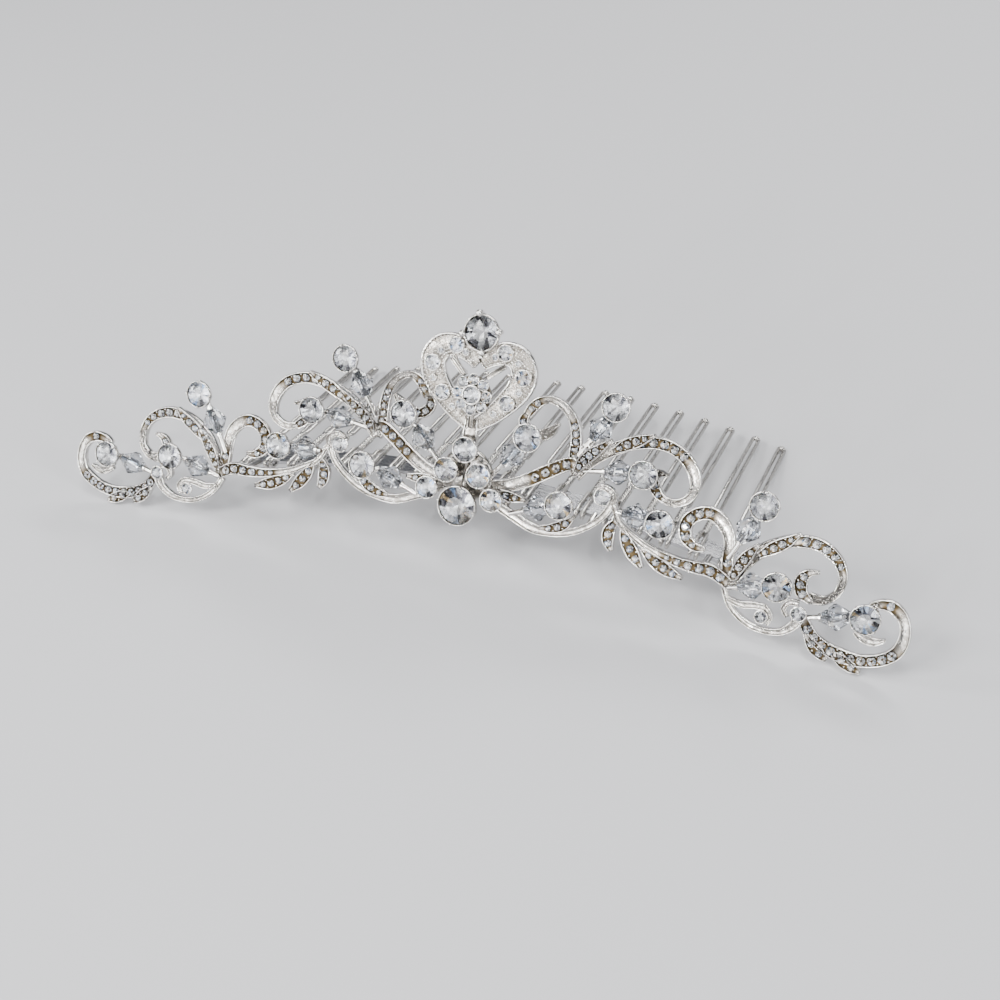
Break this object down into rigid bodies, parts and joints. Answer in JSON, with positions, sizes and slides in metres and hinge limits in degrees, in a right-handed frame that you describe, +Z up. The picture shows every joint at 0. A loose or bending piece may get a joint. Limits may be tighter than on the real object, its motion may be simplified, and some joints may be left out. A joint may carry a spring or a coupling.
{
  "type": "bridal tiara",
  "caption": "Scrollwork tiara with stone-set castings, a central heart, stones and crystal beads on stem wires, and a wire comb that slides into the hair.",
  "frame": {"origin": "centre of the bounding box on the table top, with the tiara resting on its two end leaves and the tips of its two outermost teeth", "axes": "+X to the tiara's right as seen from its front, +Y back along the comb's teeth, +Z up; the decorated front faces -Y"},
  "size_m": [0.173, 0.0622, 0.0467],
  "materials": {
    "silver_plate": "bright silver plate with darkened recesses",
    "comb_wire": "drawn wire and strip, plated",
    "crystal": "faceted and polished",
    "bead_crystal": "faceted and polished"
  },
  "bodies": {
    "tiara_frame": {"end_scroll_left": "silver_plate", "end_scroll_right": "silver_plate", "outer_scroll_left": "silver_plate", "outer_scroll_right": "silver_plate", "lower_swirl_left": "silver_plate", "lower_swirl_right": "silver_plate", "mid_scroll_left": "silver_plate", "mid_scroll_right": "silver_plate", "loop_scroll_left": "silver_plate", "loop_scroll_right": "silver_plate", "lower_band_left": "silver_plate", "lower_band_right": "silver_plate", "inner_loop_left": "silver_plate", "inner_loop_right": "silver_plate", "inner_swirl_left": "silver_plate", "inner_swirl_right": "silver_plate", "heart_frame": "silver_plate", "flower_setting": "silver_plate", "crown_setting": "silver_plate", "crown_stone": "crystal", "cluster_settings": "silver_plate", "cluster_stones": "crystal", "drop_stone": "crystal", "heart_stones": "crystal", "flower_stones": "crystal", "bezel_cups": "silver_plate", "bezel_stones": "crystal", "stem_wires_left": "silver_plate", "stem_wires_right": "silver_plate", "chaton_cups_left": "silver_plate", "chaton_cups_right": "silver_plate", "chaton_stones_left": "crystal", "chaton_stones_right": "crystal", "pave_stones_left": "crystal", "pave_stones_right": "crystal", "comb_strip": "comb_wire", "comb_teeth": "comb_wire", "mounting_posts": "silver_plate"},
    "turning_bead_left_1": {"bead_left_1": "bead_crystal"},
    "turning_bead_left_2": {"bead_left_2": "bead_crystal"},
    "turning_bead_left_3": {"bead_left_3": "bead_crystal"},
    "turning_bead_left_4": {"bead_left_4": "bead_crystal"},
    "turning_bead_left_5": {"bead_left_5": "bead_crystal"},
    "turning_bead_left_6": {"bead_left_6": "bead_crystal"},
    "turning_bead_left_7": {"bead_left_7": "bead_crystal"},
    "turning_bead_left_8": {"bead_left_8": "bead_crystal"},
    "turning_bead_right_1": {"bead_right_1": "bead_crystal"},
    "turning_bead_right_2": {"bead_right_2": "bead_crystal"},
    "turning_bead_right_3": {"bead_right_3": "bead_crystal"},
    "turning_bead_right_4": {"bead_right_4": "bead_crystal"},
    "turning_bead_right_5": {"bead_right_5": "bead_crystal"},
    "turning_bead_right_6": {"bead_right_6": "bead_crystal"},
    "turning_bead_right_7": {"bead_right_7": "bead_crystal"},
    "turning_bead_right_8": {"bead_right_8": "bead_crystal"}
  },
  "joints": [
    {"name": "bead_left_1_spin", "type": "hinge", "parent": "tiara_frame", "child": "turning_bead_left_1", "pos_m": [-0.07336, -0.02626, 0.00875], "axis": [-0.9694, 0.0946, 0.2267], "continuous": true},
    {"name": "bead_left_2_spin", "type": "hinge", "parent": "tiara_frame", "child": "turning_bead_left_2", "pos_m": [-0.0579, -0.02516, 0.01074], "axis": [-0.9227, -0.051, 0.3822], "continuous": true},
    {"name": "bead_left_3_spin", "type": "hinge", "parent": "tiara_frame", "child": "turning_bead_left_3", "pos_m": [-0.05545, -0.01969, 0.01884], "axis": [-0.4248, 0.3466, 0.8363], "continuous": true},
    {"name": "bead_left_4_spin", "type": "hinge", "parent": "tiara_frame", "child": "turning_bead_left_4", "pos_m": [-0.03456, -0.02034, 0.01724], "axis": [-0.9983, 0.0273, -0.0518], "continuous": true},
    {"name": "bead_left_5_spin", "type": "hinge", "parent": "tiara_frame", "child": "turning_bead_left_5", "pos_m": [-0.02918, -0.01398, 0.02145], "axis": [-0.9854, 0.035, 0.1665], "continuous": true},
    {"name": "bead_left_6_spin", "type": "hinge", "parent": "tiara_frame", "child": "turning_bead_left_6", "pos_m": [-0.02481, -0.01116, 0.02856], "axis": [-0.5244, 0.3626, 0.7704], "continuous": true},
    {"name": "bead_left_7_spin", "type": "hinge", "parent": "tiara_frame", "child": "turning_bead_left_7", "pos_m": [-0.00926, -0.01723, 0.02337], "axis": [-0.6252, 0.2541, 0.7379], "continuous": true},
    {"name": "bead_left_8_spin", "type": "hinge", "parent": "tiara_frame", "child": "turning_bead_left_8", "pos_m": [-0.01544, -0.02141, 0.0151], "axis": [-0.9178, 0.0621, 0.3922], "continuous": true},
    {"name": "bead_right_1_spin", "type": "hinge", "parent": "tiara_frame", "child": "turning_bead_right_1", "pos_m": [0.07336, -0.02626, 0.00875], "axis": [0.9694, 0.0946, 0.2267], "continuous": true},
    {"name": "bead_right_2_spin", "type": "hinge", "parent": "tiara_frame", "child": "turning_bead_right_2", "pos_m": [0.0579, -0.02516, 0.01074], "axis": [0.9227, -0.051, 0.3822], "continuous": true},
    {"name": "bead_right_3_spin", "type": "hinge", "parent": "tiara_frame", "child": "turning_bead_right_3", "pos_m": [0.05545, -0.01969, 0.01884], "axis": [0.4248, 0.3466, 0.8363], "continuous": true},
    {"name": "bead_right_4_spin", "type": "hinge", "parent": "tiara_frame", "child": "turning_bead_right_4", "pos_m": [0.03456, -0.02034, 0.01724], "axis": [0.9983, 0.0273, -0.0518], "continuous": true},
    {"name": "bead_right_5_spin", "type": "hinge", "parent": "tiara_frame", "child": "turning_bead_right_5", "pos_m": [0.02918, -0.01398, 0.02145], "axis": [0.9854, 0.035, 0.1665], "continuous": true},
    {"name": "bead_right_6_spin", "type": "hinge", "parent": "tiara_frame", "child": "turning_bead_right_6", "pos_m": [0.02481, -0.01116, 0.02856], "axis": [0.5244, 0.3626, 0.7704], "continuous": true},
    {"name": "bead_right_7_spin", "type": "hinge", "parent": "tiara_frame", "child": "turning_bead_right_7", "pos_m": [0.00926, -0.01723, 0.02337], "axis": [0.6252, 0.2541, 0.7379], "continuous": true},
    {"name": "bead_right_8_spin", "type": "hinge", "parent": "tiara_frame", "child": "turning_bead_right_8", "pos_m": [0.01544, -0.02141, 0.0151], "axis": [0.9178, 0.0621, 0.3922], "continuous": true}
  ]
}
